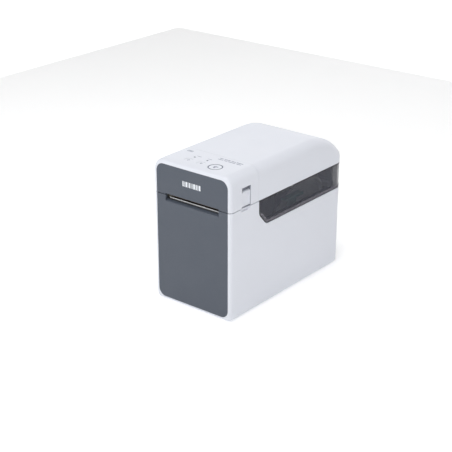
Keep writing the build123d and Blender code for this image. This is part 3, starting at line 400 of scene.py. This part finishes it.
def arrow(u, v, size):
    """A plain arrow head over a short bar: move the label out."""
    s = size
    head = [(u - s, v), (u, v - s), (u + s, v), (u + 0.4 * s, v), (u + 0.4 * s, v + s), (u - 0.4 * s, v + s),
            (u - 0.4 * s, v)]
    return [(head, None)]


def key_marks():
    """Ring round the print key, and a plain sign on each key."""
    mid, low, high = centre("print_button")
    ring_r = (high.x - low.x) / 2 - 0.9 * MM
    ring = [(circle(ring_r, u=mid.x, v=mid.y), circle(ring_r - 1.15 * MM, u=mid.x, v=mid.y))]
    marks_on("print_key_ring", ring, high.z, ink_dark, "print_key")
    bars = [(pill(mid.x, mid.y + 1.9 * MM, 6.4 * MM, 0.7 * MM), None),
            (pill(mid.x, mid.y + 0.6 * MM, 6.4 * MM, 0.7 * MM), None)]
    marks_on("print_key_icon", bars + arrow(mid.x, mid.y - 1.7 * MM, 2.0 * MM), high.z, ink_grey, "print_key")
    mid, _, high = centre("feed_button")
    bars = [(pill(mid.x, mid.y + 1.3 * MM, 3.4 * MM, 0.5 * MM), None)]
    marks_on("feed_key_icon", bars + arrow(mid.x, mid.y - 0.4 * MM, 1.15 * MM), high.z, ink_grey, "feed_key")
    mid, _, high = centre("power_button")
    ring = [(circle(1.6 * MM, 32, mid.x, mid.y), circle(1.15 * MM, 32, mid.x, mid.y)),
            (pill(mid.x, mid.y + 1.2 * MM, 0.5 * MM, 1.9 * MM), None)]
    marks_on("power_key_icon", ring, high.z, ink_grey, "power_key")


def panel_marks():
    """Plain dashes where a maker prints words, and a dark ring round each light."""
    z = TOP_Z - INK / 3
    mid, low, high = centre("light_pipes")
    light_r = 0.9 * MM
    for side, x, dash_shift in (("left", low.x + light_r, 3.0 * MM), ("right", high.x - light_r, 0.0)):
        ring = [(circle(1.25 * MM, 32, x, mid.y), circle(light_r, 32, x, mid.y))]
        dash = [(pill(x + dash_shift, mid.y + 4.6 * MM, 6.0 * MM, 0.6 * MM), None)]
        marks_on(f"light_ring_{side}", ring + dash, z, ink_grey, "lid")
    start_x, gap, thick = 5.5, 1.2, 1.2
    dashes = []
    for y, widths in ((-64.6, (5.0, 8.5, 6.0, 9.0)), (-68.0, (7.0, 4.5, 10.0, 6.5))):
        x = start_x
        for width in widths:
            dashes.append((pill((x + width / 2) * MM, y * MM, width * MM, thick * MM), None))
            x += width + gap
    marks_on("panel_dashes", dashes, z, ink_grey, "lid")
    corner = [(pill(-35.5 * MM, y * MM, 8.0 * MM, 1.0 * MM), None) for y in (-66.0, -68.2)]
    marks_on("corner_dash", corner, z, ink_grey, "lid")


def front_mark():
    """A plain row of bars, standing for a label, on the slate panel above the exit."""
    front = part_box("front_panel_upper")[0].y
    bm = bmesh.new()
    widths = (1.6, 0.8, 2.4, 0.8, 1.6, 0.8, 0.8, 2.4, 1.6, 0.8, 2.4)
    gap, low_z, top_z = 0.95, 147.6, 153.6
    x = -(sum(widths) + gap * (len(widths) - 1)) / 2
    for width in widths:
        extrude_outline(bm, rectangle(x, x + width, low_z, top_z), None, lambda u, v, h: (u, front - h, v), 0.0, INK)
        x += width + gap
    make_piece("front_label_mark", mesh_from("front_label_mark", bm), ink_pale, "lid")


def port_marks():
    """Plain signs over the rear connectors: a power dot in a ring, a forked line, two rows of pins."""
    bm = bmesh.new()
    back = cad_high.y

    def on_back(u, v, h):
        return (u, back + h, v)

    jack, usb, serial = centre("dc_jack")[0], centre("usb_port")[0], centre("serial_port")[0]
    z = 26.5 * MM
    extrude_outline(bm, circle(1.6 * MM, 32, jack.x, z), circle(1.15 * MM, 32, jack.x, z), on_back, -INK, INK)
    extrude_outline(bm, circle(0.5 * MM, 24, jack.x, z), None, on_back, -INK, INK)
    extrude_outline(bm, pill(usb.x, z, 5.6 * MM, 0.4 * MM), None, on_back, -INK, INK)
    for side, offset in ((1, -0.6), (-1, 0.7)):
        extrude_outline(bm, pill(usb.x + offset * MM, z + side * 0.95 * MM, 2.4 * MM, 0.4 * MM), None, on_back,
                        -INK, INK)
    for row, pins in ((0.7, 5), (-0.7, 4)):
        for k in range(pins):
            x = serial.x + (k - (pins - 1) / 2) * 1.6 * MM
            extrude_outline(bm, circle(0.42 * MM, 16, x, z + row * MM), None, on_back, -INK, INK)
    make_piece("rear_port_marks", mesh_from("rear_port_marks", bm), ink_grey, "base")


def parting_gap_shade():
    """Black strip of painted shade in the gap between casing and lid, from the exit's lip to each lever."""
    near, outer = 40.5, 53.7         # from the exit's lip to the side
    front, far = -106.2, -88.8
    bend, thick = 2.7, 0.5           # radius round the corner
    low_z, tall = 131.12, 0.76
    turns = [math.pi / 2 * k / 8 for k in range(9)]
    for name, side in SIDES:
        bm = bmesh.new()
        rows = []
        for depth in (0.0, thick):
            r = bend - depth
            run = [(near, front + depth)]
            run += [(outer - bend + r * math.sin(t), front + bend - r * math.cos(t)) for t in turns]
            rows.append(run + [(outer - depth, far)])
        outline = [(side * x * MM, y * MM) for x, y in rows[0] + rows[1][::-1]]
        extrude_outline(bm, outline, None, on_height(low_z * MM), 0.0, tall * MM)
        # black strip that paints the shade seen in the joint
        make_piece(f"parting_gap_shade_{name}", mesh_from(f"parting_gap_shade_{name}", bm), finish["black_frame"], "base")


def recess_shade_sheets():
    """Grey sheets of painted shade in the recess round each release lever."""
    thick, floor_x, rear_y = 0.04, 51.42, -72.86
    low_z, lever_z, top_z = 132.3, 147.0, 155.3
    blocks = [                       # x, y and z ranges: above the lever, behind it, and the rear wall
        ((floor_x, floor_x + thick), (-88.4, -72.85), (lever_z, top_z)),
        ((floor_x, floor_x + thick), (-74.6, -72.85), (low_z, lever_z)),
        ((51.5, 54.4), (rear_y, rear_y + thick), (low_z, top_z)),
    ]
    for name, side in SIDES:
        bm = bmesh.new()
        for xs, ys, zs in blocks:
            extrude_outline(bm, rectangle(*ys, *zs), None, lambda u, v, h: (side * h, u, v), xs[0] * MM, xs[1] * MM)
        make_piece(f"recess_shade_sheets_{name}", mesh_from(f"recess_shade_sheets_{name}", bm), recess_shade_grey, "lid")


GLASS_CORNER_R = 12.0        # the glazing's rear corner, seen from above
GLASS_CORNER_X, GLASS_CORNER_Y = 43.0, 95.5
RIBBON_LOW, RIBBON_HIGH = -0.03, 0.02    # below and above the glass


def on_glass(side):
    """Maps a run along the side and round the rear corner, plus a height, to a point on the glass."""
    def place(run, z, proud):
        angle = min(max((run - GLASS_CORNER_Y) / GLASS_CORNER_R, 0.0), math.pi / 2)
        beyond = max(run - GLASS_CORNER_Y - GLASS_CORNER_R * math.pi / 2, 0.0)
        x = GLASS_CORNER_X - beyond + (GLASS_CORNER_R + proud) * math.cos(angle)
        y = min(run, GLASS_CORNER_Y) + (GLASS_CORNER_R + proud) * math.sin(angle)
        return (side * x * MM, y * MM, z * MM)
    return place


def rounded_bend(start, middle, end, count=6):
    """Rounds the bend at middle with a smooth run of points."""
    points = []
    for k in range(count + 1):
        t = k / count
        points.append(tuple((1 - t) ** 2 * a + 2 * t * (1 - t) * b + t * t * c
                            for a, b, c in zip(start, middle, end)))
    return points


def ribbon(name, side, path, inner, outer, material):
    """Piece on the glass: a strip over a path of (run, z), between two distances to the path's left."""
    place = on_glass(side)
    bm = bmesh.new()
    rows = []
    for k, point in enumerate(path):
        before, after = path[max(k - 1, 0)], path[min(k + 1, len(path) - 1)]
        a = Vector(point) - Vector(before) if k else Vector(after) - Vector(point)
        b = Vector(after) - Vector(point) if k < len(path) - 1 else a
        a, b = a.normalized(), b.normalized()
        left = Vector((-(a.y + b.y), a.x + b.x)).normalized()
        reach = 1 / max(left.dot(Vector((-a.y, a.x))), 0.5)
        corners = [Vector(point) + left * reach * d for d in (inner, outer)]
        rows.append([bm.verts.new(place(c.x, c.y, proud)) for c in corners for proud in (RIBBON_LOW, RIBBON_HIGH)])
    for first, second in zip(rows, rows[1:]):
        for p, q in ((0, 1), (1, 3), (3, 2), (2, 0)):
            bm.faces.new((first[p], first[q], second[q], second[p]))
    for end in (rows[0], rows[-1]):
        bm.faces.new((end[0], end[1], end[3], end[2]))
    make_piece(name, mesh_from(name, bm), material, "lid")


def window_trim():
    """Black strip of painted shade in the gap along the glazing's top and front, and the paler moulded edge along
    its bottom.
    """
    front_y, rear_y = -57.5, 107.0
    low_z, top_z = 100.5, 131.0
    bend = 4.1                       # from each corner of the chamfer to where its rounding starts
    slope = Vector((13.2, -14.7)).normalized() * bend
    upper, lower = Vector((front_y, low_z + 14.5)), Vector((front_y + 13.0, low_z))
    upper_bend = rounded_bend(upper + Vector((0, bend)), upper, upper + slope)
    lower_bend = rounded_bend(lower - slope, lower, lower + Vector((bend, 0)))
    top = [(rear_y - 2.0 * k, top_z) for k in range(12)] + [(front_y, top_z)]
    bottom = [(GLASS_CORNER_Y + 2.0 * k, low_z) for k in range(6)] + [(rear_y, low_z)]
    for name, side in SIDES:
        # black strip that paints the shade in the gap above and in front of the glazing
        ribbon(f"window_gap_shade_{name}", side, top + upper_bend + lower_bend[:3], 0.05, 0.95,
               finish["black_frame"])
        ribbon(f"window_edge_{name}", side, upper_bend[3:] + lower_bend + bottom, 1.0, 4.2,
               moulded_edge)


def rating_label():
    """Foil label under the printer with plain lines instead of words, ahead of the vent slots."""
    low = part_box("bottom_cover")[0].z

    def below(u, v, h):
        return (u, v, low - h)

    bm = bmesh.new()
    extrude_outline(bm, rectangle(-20, 20, -64, -40), None, below, -0.01 * MM, 0.06 * MM)
    make_piece("rating_label", mesh_from("rating_label", bm), foil, "base")
    bm = bmesh.new()
    for row, width in enumerate((30, 34, 22, 34, 26, 14)):
        line = pill((width / 2 - 17) * MM, (-42.5 - 3.4 * row) * MM, width * MM, 0.8 * MM)
        extrude_outline(bm, line, None, below, 0.05 * MM, 0.08 * MM)
    make_piece("rating_label_lines", mesh_from("rating_label_lines", bm), ink_dark, "base")


key_marks()
panel_marks()
front_mark()
port_marks()
parting_gap_shade()
recess_shade_sheets()
window_trim()
rating_label()

# ---- stage, light and camera ----------------------------------------------------------------------
CAMERA_AZIMUTH = math.radians(38.95)
CAMERA_ELEVATION = math.radians(23.21)
CAMERA_DISTANCE = 1.36735
CAMERA_AIM = Vector((-0.01576, -0.02825, 0.07285))
CAMERA_LENS = 93.30
LIGHT_TARGET = Vector((0.0, 0.0, 0.09))


def make_floor():
    """White paper sweep. Away from the printer it glows more, as a lit backdrop does."""
    bm = bmesh.new()
    half, back, rise, near, curve = 4.0, 2.6, 2.4, 0.9, 0.8
    profile = [(-half, 0.0), (-near, 0.0), (near, 0.0), (back - curve, 0.0)]
    turns = [math.radians(9 * k) for k in range(1, 11)]
    profile += [(back - curve + curve * math.sin(a), curve - curve * math.cos(a)) for a in turns]
    profile.append((back, rise))
    rows = [[bm.verts.new((x, y, z)) for y, z in profile] for x in (-half, -near, near, half)]
    for left, right in zip(rows, rows[1:]):
        for k in range(len(profile) - 1):
            bm.faces.new((left[k], right[k], right[k + 1], left[k + 1]))
    floor = bpy.data.objects.new("studio_floor", mesh_from("studio_floor", bm))
    bpy.context.scene.collection.objects.link(floor)
    for name, glow in (("studio_paper", 0.3), ("studio_backdrop", 0.75)):
        s = Surface(name, (0.93, 0.93, 0.93), 0.9, Emission_Color=(1.0, 1.0, 1.0, 1.0), Emission_Strength=glow)
        s.tint(s.noise(0.4, 2.0), (0.92, 0.92, 0.92), 0.3)
        floor.data.materials.append(s.mat)
    for face in floor.data.polygons:
        face.use_smooth = True
        face.material_index = 0 if max(abs(face.center.x), abs(face.center.y)) < near else 1


def area_light(name, place, size, power):
    """Lamp that faces the middle of the printer."""
    data = bpy.data.lights.new(name, "AREA")
    data.shape = "RECTANGLE"
    data.size = data.size_y = size
    data.energy = power
    lamp = bpy.data.objects.new(name, data)
    lamp.location = place
    lamp.rotation_mode = "QUATERNION"
    lamp.rotation_quaternion = (LIGHT_TARGET - Vector(place)).to_track_quat("-Z", "Y")
    bpy.context.scene.collection.objects.link(lamp)


def make_lights():
    world = bpy.data.worlds.new("studio")
    bpy.context.scene.world = world
    world.use_nodes = True
    background = world.node_tree.nodes["Background"]
    background.inputs["Color"].default_value = (0.97, 0.98, 1.0, 1.0)
    background.inputs["Strength"].default_value = 0.15
    area_light("overhead", (-0.1, -0.2, 1.4), 0.9, 10.2)
    area_light("softbox", (0.62, -1.30, 0.95), 0.8, 10.8)
    area_light("left_fill", (-1.3, -0.9, 0.7), 0.8, 4.0)


def make_camera():
    data = bpy.data.cameras.new("camera")
    data.lens = CAMERA_LENS
    data.sensor_width = 36.0
    data.clip_start, data.clip_end = 0.05, 20.0
    camera = bpy.data.objects.new("camera", data)
    back = Vector((math.sin(CAMERA_AZIMUTH) * math.cos(CAMERA_ELEVATION),
                   -math.cos(CAMERA_AZIMUTH) * math.cos(CAMERA_ELEVATION),
                   math.sin(CAMERA_ELEVATION)))
    camera.location = CAMERA_AIM + back * CAMERA_DISTANCE
    camera.rotation_mode = "QUATERNION"
    camera.rotation_quaternion = (-back).to_track_quat("-Z", "Y")
    bpy.context.scene.collection.objects.link(camera)
    bpy.context.scene.camera = camera


make_floor()
make_lights()
make_camera()
bpy.context.scene.view_settings.view_transform = "Standard"
